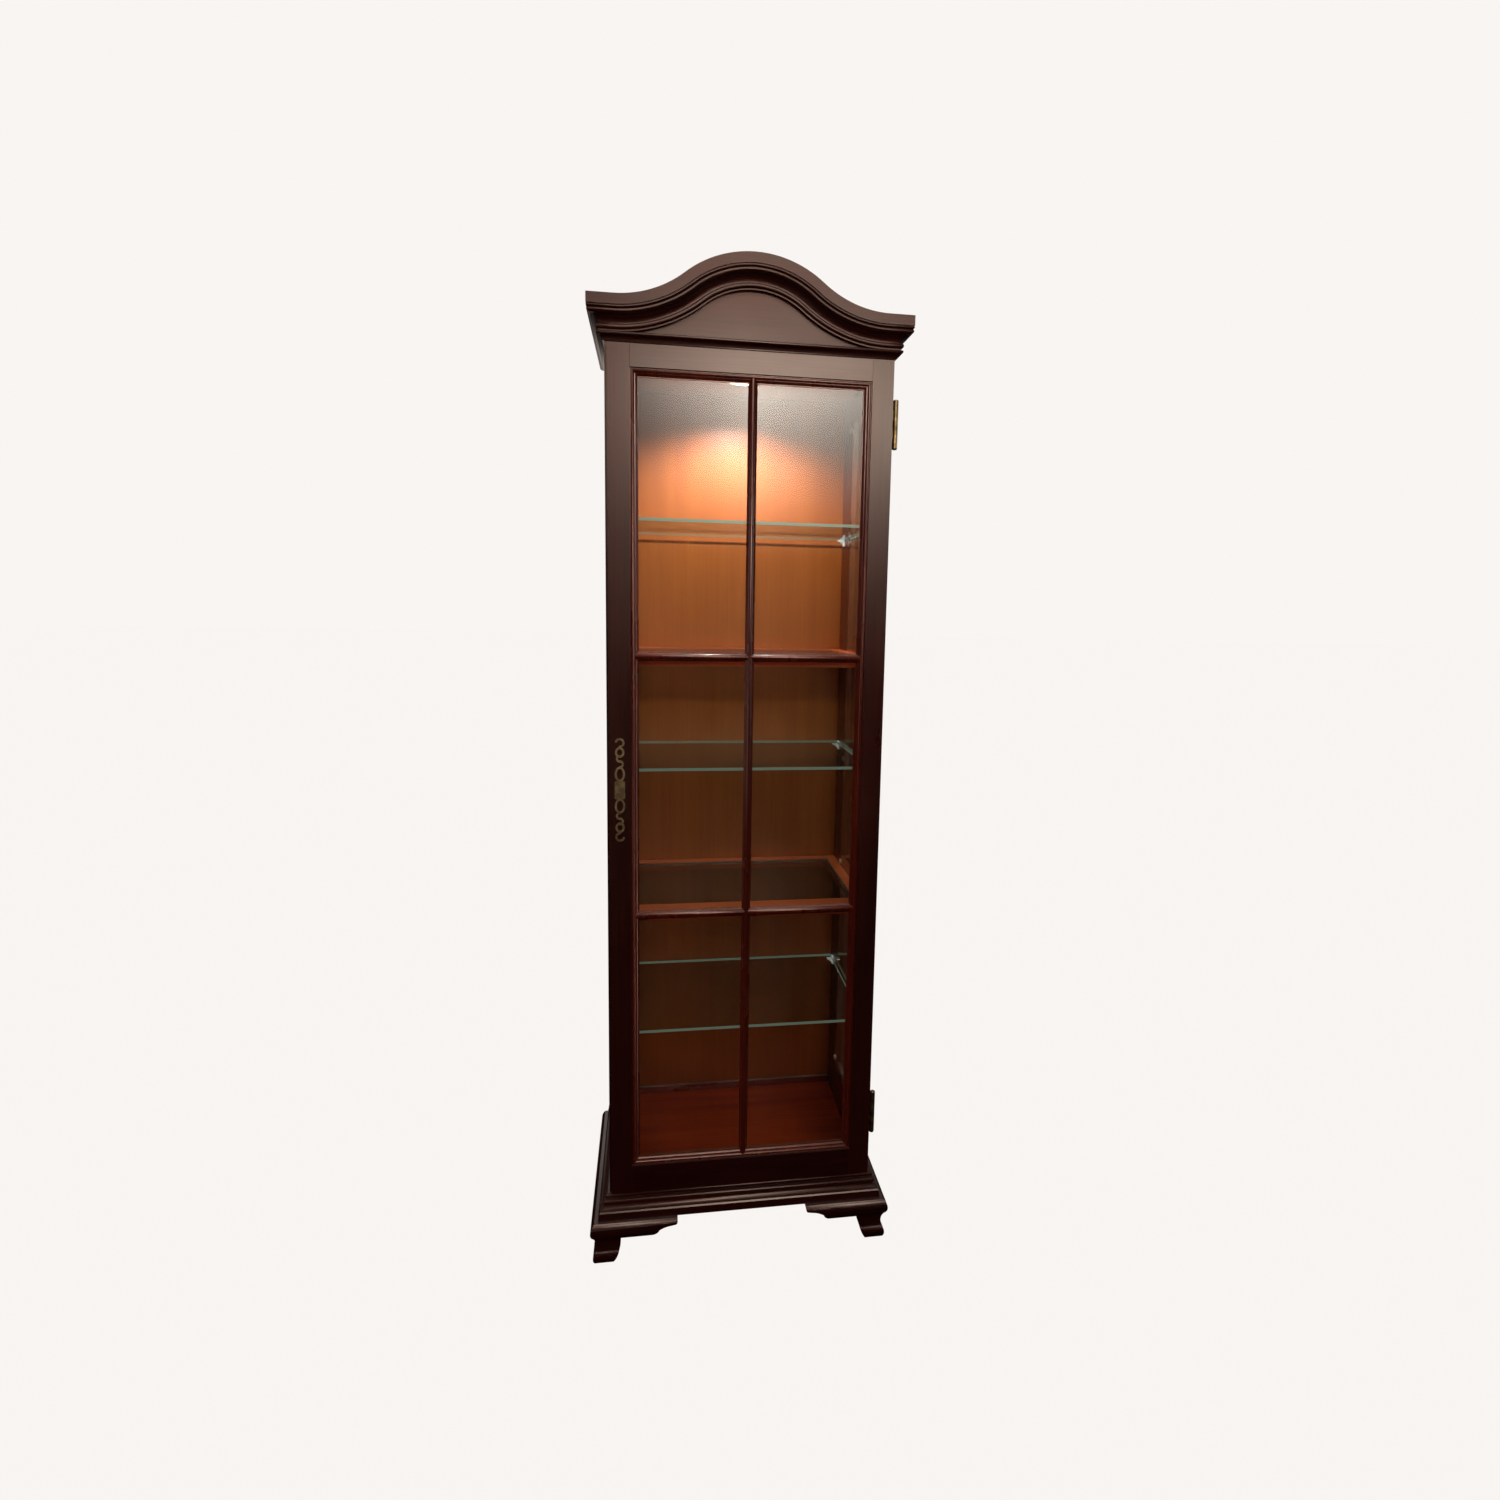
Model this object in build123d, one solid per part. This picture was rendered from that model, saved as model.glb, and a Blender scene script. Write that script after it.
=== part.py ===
"""Tall glazed display cabinet with an arched crown, a hinged glass door and bracket feet.

Millimetres. +Z is up, the door faces -Y, and the origin is on the floor under the middle
of the whole cabinet. Every separate physical piece is written to its own STEP file.
"""
import math
import os

from build123d import *

# ---------------------------------------------------------------- driving dimensions
TOTAL_HEIGHT = 2032.0
TOTAL_DEPTH = 420.0
CASE_WIDTH = 560.0
BOARD = 18.0                # rails, boards and the panel behind the arch
SIDE_BOARD = 15.0           # side frames
FOOT_HEIGHT = 90.0
FOOT_BULGE = 39.0           # how far the feet swell out past the case
FOOT_BACK = 6.0             # how far they reach in under it
SIDE_BRACKET = 104.0        # length of a bracket along the side, where the apron takes over
APRON_UNDER = 70.0          # lower edge of the side aprons
GLUE_BLOCK_UNDER = 30.0
BASE_TOP = 140.0
DOOR_WIDTH = 550.0
DOOR_THICK = 21.0
DOOR_BOTTOM = 150.0
DOOR_TOP = 1857.0
DOOR_GAP = 1.0              # between the closed door and the case
DOOR_STILE = 42.5
DOOR_TOP_RAIL = 42.0
DOOR_BOTTOM_RAIL = 59.0
SIGHT_WIDTH = 15.5          # moulding between the door frame and the glass
NECK_BOTTOM = 1864.0
NECK_TOP = 1880.0
CROWN_HEIGHT = 60.5         # crown moulding, top to bottom
CROWN_OVERHANG = 31.0
ARCH_RISE = TOTAL_HEIGHT - NECK_TOP - CROWN_HEIGHT
ARCH_HALF_SPAN = 262.0      # from the centre to where the crown turns level
CEILING = 1862.0            # underside of the top board
FRONT_STILE = 85.0          # side frames
REAR_STILE = 100.0
SIDE_RAIL_TOP = 240.0       # top edge of the side frames' bottom rails
SIDE_RAIL_UNDER = 1800.0    # lower edge of the side frames' top rails
CLIP_STEP = 256.0           # between the round clips that hold the side glass
CLIP_ROWS = (0, 1, 2, 3, 5, 6)  # the upper framed shelf takes the place of row 4
PANE = 4.0                  # side glass
DOOR_PANE = 3.0
SHELF_GLASS = 6.0
GLASS_SHELF_TOPS = {"glass_shelf_low": 492.0, "glass_shelf_middle": 1049.0, "glass_shelf_high": 1544.0}
FRAMED_SHELF_TOPS = {"lower_shelf_frame": 751.0, "upper_shelf_frame": 1276.0}
HINGE_HEIGHTS = (280.0, 1740.0)
HINGE_LENGTH = 89.0
LOCK_X = -254.0
LOCK_HEIGHT = 1012.0
LAMP_Y = 22.0

# ---------------------------------------------------------------- worked-out places
HALF = CASE_WIDTH / 2
INNER = HALF - SIDE_BOARD
BACK = TOTAL_DEPTH / 2
FRONT = -TOTAL_DEPTH / 2 + FOOT_BULGE
FRONT_INNER = FRONT + BOARD
DOOR_BACK = FRONT - DOOR_GAP
DOOR_FRONT = DOOR_BACK - DOOR_THICK
DOOR_HALF = DOOR_WIDTH / 2
CROWN_FLAT = NECK_TOP + CROWN_HEIGHT
CASE_TOP = CROWN_FLAT - 4
TYMPANUM_FOOT = NECK_BOTTOM + 6
BACK_PANEL_FRONT = BACK - 10
BACK_PANEL = 5.0
FLOOR_UNDER = BASE_TOP - BOARD
SIGHT_X = DOOR_HALF - DOOR_STILE
SIGHT_BOTTOM = DOOR_BOTTOM + DOOR_BOTTOM_RAIL
SIGHT_TOP = DOOR_TOP - DOOR_TOP_RAIL
CUT = 100.0                 # reach of the cutting tools past the case


# ---------------------------------------------------------------- shared tools
def block(x, y, z):
    """A box from its (low, high) limits along X, Y and Z."""
    size = Box(x[1] - x[0], y[1] - y[0], z[1] - z[0])
    return Pos((x[0] + x[1]) / 2, (y[0] + y[1]) / 2, (z[0] + z[1]) / 2) * size


def mirrored(solid):
    """The same piece on the other side of the cabinet."""
    return mirror(solid, about=Plane.YZ)


def rod(radius, start, length, axis):
    """A cylinder that starts at a point and runs along axis."""
    return extrude(Plane(origin=start, z_dir=axis) * Circle(radius), length, dir=axis)


def face_from(*pieces):
    """A face bounded by lines and arcs laid end to end."""
    return make_face([edge for piece in pieces for edge in piece.edges()])


def ring_of_strips(low, high, width, y):
    """Four butt-jointed strips in the XZ plane, inside the rectangle low..high."""
    (x0, z0), (x1, z1) = low, high
    return [
        block((x0, x0 + width), y, (z0, z1)),
        block((x1 - width, x1), y, (z0, z1)),
        block((x0 + width, x1 - width), y, (z0, z0 + width)),
        block((x0 + width, x1 - width), y, (z1 - width, z1)),
    ]


def front_plane(x):
    """Section plane of a moulding on the front: local x is outward, local y is up."""
    return Plane(origin=(x, FRONT, 0), x_dir=(0, -1, 0), z_dir=(-1, 0, 0))


def side_plane(y):
    """Section plane of a moulding on the right side: local x is outward, local y is up."""
    return Plane(origin=(HALF, y, 0), x_dir=(1, 0, 0), z_dir=(0, -1, 0))


def front_space():
    """Everything between the two mitre planes at the front corners."""
    near = FRONT - CUT
    far = FRONT + CUT
    outline = Polyline((CUT - HALF, far), (HALF - CUT, far), (HALF + CUT, near), (-HALF - CUT, near),
                       close=True)
    return extrude(make_face(outline), TOTAL_HEIGHT, dir=(0, 0, 1))


def side_space():
    """Everything to the right of the right-hand mitre plane, back to the rear of the case."""
    inside = HALF - CUT
    outline = Polyline((inside, FRONT + CUT), (HALF + CUT, FRONT - CUT), (HALF + CUT, BACK), (inside, BACK),
                       close=True)
    return extrude(make_face(outline), TOTAL_HEIGHT, dir=(0, 0, 1))


def front_run(section):
    """A straight moulding along the front, mitred at both corners."""
    plane = front_plane(HALF + CUT)
    return extrude(plane * section, 2 * (HALF + CUT), dir=plane.z_dir) & front_space()


def right_run(section):
    """A straight moulding along the right side, mitred at the front corner."""
    plane = side_plane(BACK)
    return extrude(plane * section, BACK - FRONT + CUT, dir=plane.z_dir) & side_space()


# ---------------------------------------------------------------- moulding sections
def crown_section():
    """Fascia, small bead, larger bead, cove and round lower bead, from the top line down."""
    top = CROWN_FLAT
    foot = NECK_TOP
    return face_from(
        Polyline((0, foot), (0, top), (CROWN_OVERHANG, top), (CROWN_OVERHANG, top - 19), (28.5, top - 19),
                 (28.5, top - 20)),
        ThreePointArc((28.5, top - 20), (30.8, top - 22.3), (28.5, top - 24.6)),
        Line((28.5, top - 24.6), (27, top - 25.5)),
        ThreePointArc((27, top - 25.5), (30, top - 29.3), (27, top - 33)),
        Line((27, top - 33), (25, top - 34)),
        ThreePointArc((25, top - 34), (14.2, top - 38), (9.5, top - 48)),
        ThreePointArc((9.5, top - 48), (14.8, top - 52.8), (10, top - 58)),
        Polyline((10, top - 58), (10, foot), (0, foot)),
    )


def neck_section():
    """Round nose over a small cove."""
    nose = NECK_BOTTOM + 9
    return face_from(
        Polyline((0, NECK_BOTTOM), (0, NECK_TOP), (11, NECK_TOP)),
        ThreePointArc((11, NECK_TOP), (14.3, (NECK_TOP + nose) / 2), (11, nose)),
        ThreePointArc((11, nose), (5.5, nose - 2.5), (3, NECK_BOTTOM)),
        Line((3, NECK_BOTTOM), (0, NECK_BOTTOM)),
    )


def base_section():
    """Two small beads, a cove and a flat nose, widening downwards."""
    top = BASE_TOP
    return face_from(
        Polyline((0, FOOT_HEIGHT), (0, top), (4, top)),
        ThreePointArc((4, top), (9, top - 5.5), (5.5, top - 10.5)),
        Line((5.5, top - 10.5), (8, top - 11.5)),
        ThreePointArc((8, top - 11.5), (13, top - 16.5), (9.5, top - 21.5)),
        Line((9.5, top - 21.5), (9.5, top - 22.5)),
        ThreePointArc((9.5, top - 22.5), (12.7, top - 29.5), (19.5, top - 32.5)),
        Polyline((19.5, top - 32.5), (21.5, top - 35), (24, FOOT_HEIGHT), (0, FOOT_HEIGHT)),
    )


def foot_section():
    """Ogee: swells under the base moulding, draws in at the ankle and turns out at the toe."""
    back = -FOOT_BACK
    ankle = FOOT_BULGE - 12
    return face_from(
        Polyline((back, 0), (back, FOOT_HEIGHT), (31, FOOT_HEIGHT)),
        ThreePointArc((31, FOOT_HEIGHT), (FOOT_BULGE, 75), (34, 60)),
        ThreePointArc((34, 60), (ankle, 42), (29, 26)),
        ThreePointArc((29, 26), (34, 12.5), (30.5, 1.5)),
        Polyline((30.5, 1.5), (28.5, 0), (back, 0)),
    )


def foot_elevation():
    """Cut-out of one bracket seen square on; local x is the distance in from the case corner."""
    return face_from(
        Polyline((-CUT, 0), (-CUT, FOOT_HEIGHT), (142, FOOT_HEIGHT), (142, 84)),
        ThreePointArc((142, 84), (140.5, 80.5), (137, 79)),
        Line((137, 79), (126, 77.5)),
        ThreePointArc((126, 77.5), (114, 74.8), (SIDE_BRACKET, APRON_UNDER)),
        ThreePointArc((SIDE_BRACKET, APRON_UNDER), (101.5, 64.5), (98.5, 60)),
        ThreePointArc((98.5, 60), (94, 56), (88, 54.5)),
        Line((88, 54.5), (23, 54.5)),
        ThreePointArc((23, 54.5), (20.5, 26), (9, 3)),
        Polyline((9, 3), (9, 0), (-CUT, 0)),
    )


# ---------------------------------------------------------------- case
PANE_LAP = 8.0              # width of the side glass rebate
PANE_DEPTH = PANE + 0.4     # depth of that rebate
PIN_FRONT_Y = FRONT + 31
PIN_REAR_Y = BACK - 33
PIN_DROP = 3.5              # axis of a shelf pin below the glass
PIN_PLATE = 2.5             # thickness of its plate on the stile


def rebated_stile(y, glass_edge):
    """Right-hand stile of a side frame, with the glass rebate along one edge."""
    stile = block((INNER, HALF), y, (FOOT_HEIGHT, CASE_TOP))
    direction = 1 if glass_edge == y[0] else -1
    rebate_y = sorted((glass_edge, glass_edge + direction * PANE_LAP))
    rebate_z = (SIDE_RAIL_TOP - PANE_LAP, SIDE_RAIL_UNDER + PANE_LAP)
    return stile - block((INNER, INNER + PANE_DEPTH), rebate_y, rebate_z)


def side_rail(z, rebate_z, tenon_z):
    """Right-hand rail of a side frame with a tenon at each end."""
    opening = (FRONT + FRONT_STILE, BACK - REAR_STILE)
    rail = block((INNER, HALF), opening, z)
    rail -= block((INNER, INNER + PANE_DEPTH), opening, rebate_z)
    return rail + block((INNER + 5, INNER + 11), (opening[0] - 20, opening[1] + 20), tenon_z)


def pin_holes(y):
    """Rows of shelf support holes in one stile: one in use and one spare each side of it."""
    holes = []
    for top in GLASS_SHELF_TOPS.values():
        for step in (-32, 0, 32):
            holes.append(rod(2.6, (INNER, y, top - SHELF_GLASS - PIN_DROP + step), 9, (1, 0, 0)))
    return holes


def clip_places():
    """(y, z) of the round clips up the inner faces of both right-hand stiles."""
    columns = (FRONT + FRONT_STILE - PANE_LAP - 3, BACK - REAR_STILE + PANE_LAP + 3)
    return [(y, SIDE_RAIL_TOP + 7 + row * CLIP_STEP) for y in columns for row in CLIP_ROWS]


def glass_clips():
    """Right-hand clips: a flat round head that laps onto the glass, and a screw shank."""
    clips = []
    for y, z in clip_places():
        head = rod(7, (INNER, y, z), 2, (-1, 0, 0))
        clips.append(head + rod(1.5, (INNER, y, z), 8, (1, 0, 0)))
    return clips


def dowels():
    """Right-hand dowels that tie the framed shelves to the stiles."""
    places = [(y, top - FRAME_THICK / 2) for top in FRAMED_SHELF_TOPS.values()
              for y in (SHELF_FRONT + 12, SHELF_FRONT + 32, BACK_PANEL_FRONT - 15)]
    return [rod(4, (INNER - 20, y, z), 29, (1, 0, 0)) for y, z in places]


def side_frame():
    """The right-hand frame: two stiles, two rails and a pane."""
    opening = (FRONT + FRONT_STILE, BACK - REAR_STILE)
    low_rebate = (SIDE_RAIL_TOP - PANE_LAP, SIDE_RAIL_TOP)
    top_rebate = (SIDE_RAIL_UNDER, SIDE_RAIL_UNDER + PANE_LAP)
    low_rail = side_rail((FOOT_HEIGHT, SIDE_RAIL_TOP), low_rebate, (FOOT_HEIGHT + 20, SIDE_RAIL_TOP - 25))
    top_rail = side_rail((SIDE_RAIL_UNDER, CASE_TOP), top_rebate, (SIDE_RAIL_UNDER + 25, CASE_TOP - 12))
    fixings = [low_rail, top_rail] + glass_clips() + dowels()
    front = rebated_stile((FRONT, opening[0]), opening[0]) - fixings - pin_holes(PIN_FRONT_Y)
    rear = rebated_stile((opening[1], BACK), opening[1]) - fixings - pin_holes(PIN_REAR_Y)
    rear -= block((INNER, INNER + 6.5), (BACK_PANEL_FRONT, BACK), (FLOOR_UNDER, CASE_TOP))
    play = PANE_LAP - 1
    pane = block((INNER + 0.2, INNER + 0.2 + PANE), (opening[0] - play, opening[1] + play),
                 (SIDE_RAIL_TOP - play, SIDE_RAIL_UNDER + play))
    return front, rear, top_rail, low_rail, pane


def lock_pocket():
    """Slot in the left front stile that the turned lock cam enters."""
    return block((-INNER - 9, -INNER), (FRONT + 2, FRONT + 8), (LOCK_HEIGHT - 9, LOCK_HEIGHT + 16))


def case_pieces():
    """Side frames, boards and back."""
    front, rear, top_rail, low_rail, pane = side_frame()
    clips = glass_clips()
    pieces = {
        "left_front_stile": [mirrored(front) - lock_pocket()],
        "left_rear_stile": [mirrored(rear)],
        "left_top_rail": [mirrored(top_rail)],
        "left_bottom_rail": [mirrored(low_rail)],
        "left_side_glass": [mirrored(pane)],
        "right_front_stile": [front - case_hinge_housings()],
        "right_rear_stile": [rear],
        "right_top_rail": [top_rail],
        "right_bottom_rail": [low_rail],
        "right_side_glass": [pane],
        "side_glass_clips": clips + [mirrored(clip) for clip in clips],
    }
    inside = (-INNER, INNER)
    depth = (FRONT_INNER, BACK_PANEL_FRONT)
    lamp_hole = rod(LAMP_RADIUS + 0.5, (0, LAMP_Y, CEILING), BOARD, (0, 0, 1))
    cleat_y = (BACK_PANEL_FRONT - 9, BACK_PANEL_FRONT)
    panel_y = (BACK_PANEL_FRONT, BACK_PANEL_FRONT + BACK_PANEL)
    pieces["front_bottom_rail"] = [block(inside, (FRONT, FRONT_INNER), (FOOT_HEIGHT, BASE_TOP + 40))]
    pieces["front_top_rail"] = [block(inside, (FRONT, FRONT_INNER), (CEILING - 42, TYMPANUM_FOOT))]
    pieces["bottom_board"] = [block(inside, depth, (FLOOR_UNDER, BASE_TOP))]
    pieces["top_board"] = [block(inside, depth, (CEILING, CEILING + BOARD)) - lamp_hole]
    pieces["back_panel"] = [block((-INNER - 6, INNER + 6), panel_y, (FLOOR_UNDER, CASE_TOP))]
    pieces["back_cleat"] = [block(inside, cleat_y, (BASE_TOP, BASE_TOP + 18))]
    pieces["base_rear_rail"] = [block(inside, (BACK - BOARD, BACK), (FOOT_HEIGHT, FLOOR_UNDER))]
    return pieces


# ---------------------------------------------------------------- crown and base
def arch_edges(z, reach):
    """Level line, S curve up, round top, S curve down, level line; z is the level height."""
    turn = 2 * math.atan(ARCH_RISE / ARCH_HALF_SPAN)
    radius = ARCH_HALF_SPAN / 2 / math.sin(turn)
    mid_x = ARCH_HALF_SPAN - radius * math.sin(turn / 2)
    mid_z = z + radius * (1 - math.cos(turn / 2))
    knee = (ARCH_HALF_SPAN / 2, z + ARCH_RISE / 2)
    return [
        Line((-reach, z), (-ARCH_HALF_SPAN, z)),
        ThreePointArc((-ARCH_HALF_SPAN, z), (-mid_x, mid_z), (-knee[0], knee[1])),
        ThreePointArc((-knee[0], knee[1]), (0, z + ARCH_RISE), knee),
        ThreePointArc(knee, (mid_x, mid_z), (ARCH_HALF_SPAN, z)),
        Line((ARCH_HALF_SPAN, z), (reach, z)),
    ]


def crown_pieces():
    """Arched front moulding, side returns, neck moulding and the shaped board behind the arch."""
    upright = Plane.XZ.offset(-FRONT)
    path = upright * Wire(arch_edges(CROWN_FLAT, HALF + CUT))
    arch = sweep(front_plane(-HALF - CUT) * crown_section(), path=path) & front_space()
    crown_return = right_run(crown_section())
    neck_return = right_run(neck_section())
    sides = Polyline((INNER, CASE_TOP), (INNER, TYMPANUM_FOOT), (-INNER, TYMPANUM_FOOT), (-INNER, CASE_TOP))
    board = face_from(*arch_edges(CASE_TOP, INNER), sides)
    return {
        "crown_front_moulding": [arch],
        "crown_side_returns": [mirrored(crown_return), crown_return],
        "neck_front_moulding": [front_run(neck_section())],
        "neck_side_returns": [mirrored(neck_return), neck_return],
        "tympanum_board": [extrude(upright * board, BOARD, dir=(0, 1, 0))],
    }


def right_feet():
    """Right-hand feet: a mitred pair of brackets in front, a side bracket and a plain back behind."""
    elevation = foot_elevation()
    facing = Plane(origin=(HALF, FRONT, 0), x_dir=(-1, 0, 0), z_dir=(0, 1, 0))
    across = Plane(origin=(HALF, FRONT, 0), x_dir=(0, 1, 0), z_dir=(1, 0, 0))
    front = front_run(foot_section()) & extrude(facing * elevation, CUT, both=True)
    side_shape = extrude(across * elevation, CUT, both=True)
    side_shape &= block((0, HALF + CUT), (FRONT - CUT, FRONT + SIDE_BRACKET), (0, FOOT_HEIGHT))
    side = right_run(foot_section()) & side_shape
    rear = right_run(foot_section()) & mirror(side_shape, about=Plane.XZ.offset(-(FRONT + BACK) / 2))
    inside = HALF - FOOT_BACK
    back = face_from(
        Polyline((inside, 0), (inside, FOOT_HEIGHT), (inside - 104, FOOT_HEIGHT), (inside - 104, 70)),
        ThreePointArc((inside - 104, 70), (inside - 54, 52), (inside - 30, 0)),
        Line((inside - 30, 0), (inside, 0)),
    )
    return front, side, rear, extrude(Plane.XZ.offset(-BACK) * back, BOARD, dir=(0, -1, 0))


def right_apron():
    """The foot profile carried along the side between the front and rear brackets."""
    span = (FRONT + SIDE_BRACKET, BACK - SIDE_BRACKET)
    return right_run(foot_section()) & block((0, HALF + CUT), span, (APRON_UNDER, FOOT_HEIGHT))


def base_pieces():
    """Base moulding, four bracket feet, the side aprons between them and the glue blocks."""
    base_return = right_run(base_section())
    front, side, rear, back = right_feet()
    apron = right_apron()
    block_x = (HALF - FOOT_BACK - 32, HALF - FOOT_BACK)
    glue_blocks = [
        block(block_x, (FRONT + FOOT_BACK, FRONT + FOOT_BACK + 32), (GLUE_BLOCK_UNDER, FOOT_HEIGHT)),
        block(block_x, (BACK - BOARD - 32, BACK - BOARD), (GLUE_BLOCK_UNDER, FOOT_HEIGHT)),
    ]
    return {
        "base_front_moulding": [front_run(base_section())],
        "base_side_mouldings": [mirrored(base_return), base_return],
        "base_side_aprons": [mirrored(apron), apron],
        "front_right_foot": [front, side],
        "front_left_foot": [mirrored(front), mirrored(side)],
        "rear_right_foot": [rear, back],
        "rear_left_foot": [mirrored(rear), mirrored(back)],
        "foot_glue_blocks": glue_blocks + [mirrored(piece) for piece in glue_blocks],
    }


# ---------------------------------------------------------------- shelves
FRAME_THICK = 20.0
FRAME_FRONT = 46.0          # width of the front stick of a framed shelf
FRAME_REAR = 26.0
FRAME_SIDE = 28.0
INSET_LAP = 6.0             # how far the inset glass laps onto the sticks
INSET_GLASS = 5.0
INSET_DROP = 3.0            # glass below the top of the sticks
SHELF_FRONT = FRONT + 9


def shelf_frame(top):
    """Four sticks with a rebate for the glass inset, and the inset."""
    x = (-INNER, INNER)
    y = (SHELF_FRONT, BACK_PANEL_FRONT - 2)
    z = (top - FRAME_THICK, top)
    hole_x = (FRAME_SIDE - INNER, INNER - FRAME_SIDE)
    hole_y = (y[0] + FRAME_FRONT, y[1] - FRAME_REAR)
    pane_x = (hole_x[0] - INSET_LAP, hole_x[1] + INSET_LAP)
    pane_y = (hole_y[0] - INSET_LAP, hole_y[1] + INSET_LAP)
    pane_z = (top - INSET_DROP - INSET_GLASS, top - INSET_DROP)
    rebate = block(pane_x, pane_y, (pane_z[0], top))
    holes = dowels() + [mirrored(dowel) for dowel in dowels()]
    sticks = [
        block(x, (y[0], hole_y[0]), z) - rebate - holes,
        block(x, (hole_y[1], y[1]), z) - rebate - holes,
        block((x[0], hole_x[0]), hole_y, z) - rebate,
        block((hole_x[1], x[1]), hole_y, z) - rebate,
    ]
    play = 0.5
    pane = block((pane_x[0] + play, pane_x[1] - play), (pane_y[0] + play, pane_y[1] - play), pane_z)
    return sticks, pane


def shelf_pin(y, z):
    """Right-hand support: a plate on the stile, a shank in it and a tongue on a gusset under the glass."""
    seat = z + PIN_DROP
    plate = block((INNER - PIN_PLATE, INNER), (y - 7, y + 7), (z - 10, seat + SHELF_GLASS))
    shank = rod(2.5, (INNER, y, z), 7, (1, 0, 0))
    tongue = block((INNER - 15, INNER - 1), (y - 6, y + 6), (seat - 2, seat))
    slope = Polyline((INNER - 1, seat - 1), (INNER - 14, seat - 1), (INNER - 1, z - 9), close=True)
    gusset = extrude(Plane.XZ.offset(-y - 2.5) * make_face(slope), 5, dir=(0, -1, 0))
    return plate + shank + tongue + gusset


def shelf_pieces():
    """Three loose glass shelves on pins and two framed shelves with glass insets."""
    pieces = {}
    insets = []
    for name, top in FRAMED_SHELF_TOPS.items():
        sticks, pane = shelf_frame(top)
        pieces[name] = sticks
        insets.append(pane)
    pieces["shelf_glass_insets"] = insets
    pins = []
    for name, top in GLASS_SHELF_TOPS.items():
        low = top - SHELF_GLASS
        pieces[name] = [block((4 - INNER, INNER - 4), (SHELF_FRONT, BACK_PANEL_FRONT - 9), (low, top))]
        pins += [shelf_pin(y, low - PIN_DROP) for y in (PIN_FRONT_Y, PIN_REAR_Y)]
    pieces["shelf_pins"] = pins + [mirrored(pin) for pin in pins]
    pieces["shelf_dowels"] = dowels() + [mirrored(dowel) for dowel in dowels()]
    return pieces


# ---------------------------------------------------------------- lamp
LAMP_RADIUS = 31.0
LAMP_TOP = 1915.0
LAMP_WALL = 1.5


def turned(points):
    """A solid of revolution about the lamp's vertical axis, from (radius, z) points."""
    outline = make_face(Polyline(*points, close=True))
    return Pos(0, LAMP_Y, 0) * revolve(Plane.XZ * outline, Axis.Z)


def lamp_pieces():
    """Can light in the top board: spun can with a rim, socket, reflector bulb and cord bushing."""
    inner = LAMP_RADIUS - LAMP_WALL
    rim = CEILING
    can = turned([
        (inner, rim - 9), (inner + 2, rim - 10), (LAMP_RADIUS + 6, rim - 4), (LAMP_RADIUS + 6, rim),
        (LAMP_RADIUS, rim), (LAMP_RADIUS, LAMP_TOP), (5, LAMP_TOP), (5, LAMP_TOP - LAMP_WALL),
        (inner, LAMP_TOP - LAMP_WALL),
    ])
    socket_low = LAMP_TOP - LAMP_WALL - 28
    socket_top = LAMP_TOP - LAMP_WALL
    socket = turned([(0, socket_low), (13, socket_low), (13, socket_top), (0, socket_top)])
    bulb_low = rim - 3
    bulb = turned([
        (0, bulb_low), (14, bulb_low + 1.5), (22, bulb_low + 6), (23, bulb_low + 9), (17, bulb_low + 18),
        (9, socket_low), (0, socket_low),
    ])
    bushing = turned([(2.5, LAMP_TOP), (8, LAMP_TOP), (8, LAMP_TOP + 3), (5, LAMP_TOP + 12),
                      (2.5, LAMP_TOP + 12)])
    return {"lamp_can": [can], "lamp_socket": [socket], "lamp_bulb": [bulb], "lamp_cord_bushing": [bushing]}


# ---------------------------------------------------------------- door
SIGHT_SETBACK = 1.5         # moulding behind the door's face
MUNTIN_HALF = 9.0
NOSE_HALF = 6.0             # round front of a glazing bar
BAR_SETBACK = 1.9           # upright glazing bar behind the door's face; the level ones sit a little deeper
GLASS_FRONT = DOOR_FRONT + 12
TENON = 24.0


def sight_section():
    """Quirk, bead and ovolo; local x runs from the door frame towards the glass, local y is the depth."""
    face = DOOR_FRONT + SIGHT_SETBACK
    return face_from(
        Polyline((0, GLASS_FRONT), (0, face + 2.5), (1.6, face + 2.5)),
        ThreePointArc((1.6, face + 2.5), (5, face), (8.4, face + 2.5)),
        Line((8.4, face + 2.5), (8.4, face + 4)),
        ThreePointArc((8.4, face + 4), (12.4, face + 5.4), (14, face + 8.5)),
        Polyline((14, face + 8.5), (SIGHT_WIDTH, face + 8.5), (SIGHT_WIDTH, GLASS_FRONT), (0, GLASS_FRONT)),
    )


def level_plane(z):
    """Section plane at the right-hand sight line: local x is up, local y is the depth."""
    return Plane(origin=(SIGHT_X, 0, z), x_dir=(0, 0, 1), z_dir=(-1, 0, 0))


def sight_strips():
    """Four mitred strips of moulding around the glass."""
    middle = (SIGHT_TOP + SIGHT_BOTTOM) / 2
    height = SIGHT_TOP - SIGHT_BOTTOM
    upright = extrude(Pos(-SIGHT_X, 0, SIGHT_BOTTOM) * sight_section(), height, dir=(0, 0, 1))
    level = extrude(level_plane(SIGHT_BOTTOM) * sight_section(), 2 * SIGHT_X, dir=(-1, 0, 0))
    mitre = Polyline((-SIGHT_X, SIGHT_BOTTOM), (CUT - SIGHT_X, SIGHT_BOTTOM + CUT),
                     (SIGHT_X - CUT, SIGHT_BOTTOM + CUT), (SIGHT_X, SIGHT_BOTTOM), close=True)
    wedge = extrude(Plane.XZ.offset(-DOOR_FRONT) * make_face(mitre), DOOR_THICK, dir=(0, 1, 0))
    about = Plane.XY.offset(middle)
    low = level & wedge
    upright = upright - wedge - mirror(wedge, about=about)
    return [upright, mirrored(upright), low, mirror(low, about=about)]


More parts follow.
